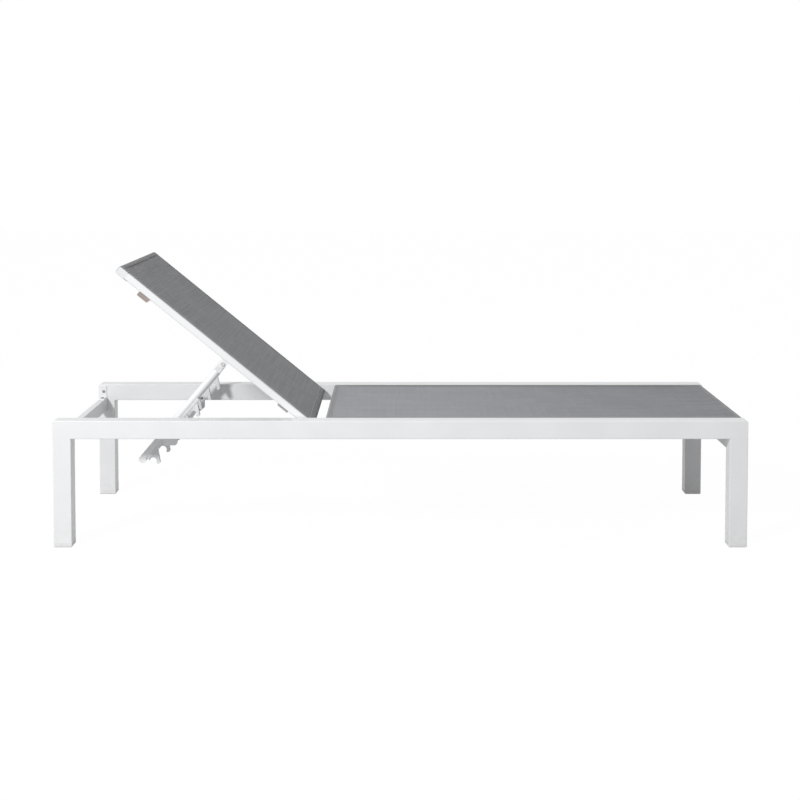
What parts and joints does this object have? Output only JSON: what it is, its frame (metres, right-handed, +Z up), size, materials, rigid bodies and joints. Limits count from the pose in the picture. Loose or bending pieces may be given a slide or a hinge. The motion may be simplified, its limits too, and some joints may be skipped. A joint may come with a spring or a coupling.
{
  "type": "sun lounger",
  "caption": "Low lounger with square legs, a flat mesh seat and a mesh back held up by a hooked prop.",
  "frame": {"origin": "centre of the footprint, on the floor", "axes": "+X towards the foot end along the length, +Y across to the left rail, +Z up"},
  "size_m": [1.9, 0.67, 0.7679],
  "materials": {
    "frame_paint": "white powder coat, satin",
    "seat_mesh": "grey woven mesh",
    "back_mesh": "grey woven mesh",
    "foot_cap": "white, matt",
    "end_plug": "taupe, matt",
    "white_plug": "white, matt",
    "strap": "bare, brushed",
    "knuckle": "white, matt",
    "hook_rack": "white, satin",
    "bush": "dark, matt",
    "steel": "dark zinc",
    "catch_bar": "white powder coat, satin"
  },
  "bodies": {
    "frame": {"catch_bar": "catch_bar", "catch_plate_left": "frame_paint", "catch_plate_right": "frame_paint", "corner_bracket_left": "frame_paint", "corner_bracket_right": "frame_paint", "foot_cap_foot_left": "foot_cap", "foot_cap_foot_right": "foot_cap", "foot_cap_head_left": "foot_cap", "foot_cap_head_right": "foot_cap", "foot_crossbar": "frame_paint", "frame_screws_left": "steel", "frame_screws_right": "steel", "head_crossbar": "frame_paint", "hinge_bush_left": "bush", "hinge_bush_right": "bush", "leg_foot_left": "frame_paint", "leg_foot_right": "frame_paint", "leg_head_left": "frame_paint", "leg_head_right": "frame_paint", "seat_foot_bar": "frame_paint", "seat_head_bar": "frame_paint", "seat_sling": "seat_mesh", "seat_stretcher_1": "frame_paint", "seat_stretcher_2": "frame_paint", "side_rail_left": "frame_paint", "side_rail_right": "frame_paint"},
    "hinge_pins": {"hinge_pin_left": "steel", "hinge_pin_right": "steel", "hinge_washer_left": "bush", "hinge_washer_right": "bush"},
    "back": {"back_bottom_tube": "frame_paint", "back_lower_strap": "strap", "back_middle_brace": "frame_paint", "back_side_tube_left": "frame_paint", "back_side_tube_right": "frame_paint", "back_sling": "back_mesh", "back_top_tube": "frame_paint", "back_upper_brace": "frame_paint", "brace_plugs": "end_plug", "hinge_ear_left": "frame_paint", "hinge_ear_right": "frame_paint", "prop_bolt_left": "steel", "prop_bolt_right": "steel", "prop_hanger_left": "frame_paint", "prop_hanger_right": "frame_paint", "side_tube_plugs": "white_plug", "top_tube_plugs": "white_plug"},
    "prop": {"hook_rack_left": "hook_rack", "hook_rack_right": "hook_rack", "prop_arm_left": "frame_paint", "prop_arm_right": "frame_paint", "prop_bottom_tube": "frame_paint", "prop_knuckle_left": "knuckle", "prop_knuckle_right": "knuckle", "rack_screws": "steel"}
  },
  "joints": [
    {"name": "back_fold", "type": "hinge", "parent": "frame", "child": "hinge_pins", "pos_m": [-0.2653, 0, 0.3159], "axis": [0, 1, 0], "range_deg": [-39.3, 0]},
    {"name": "back_raise", "type": "hinge", "parent": "hinge_pins", "child": "back", "pos_m": [-0.2653, 0, 0.3159], "axis": [0, 1, 0], "range_deg": [0, 17.7]},
    {"name": "prop_swing", "type": "hinge", "parent": "back", "child": "prop", "pos_m": [-0.49479, 0, 0.49211], "axis": [0, 1, 0], "range_deg": [0, 88.1]}
  ],
  "couplings": [
    {"joint": "prop_swing", "follows": "back_fold", "ratio": -2.239}
  ]
}
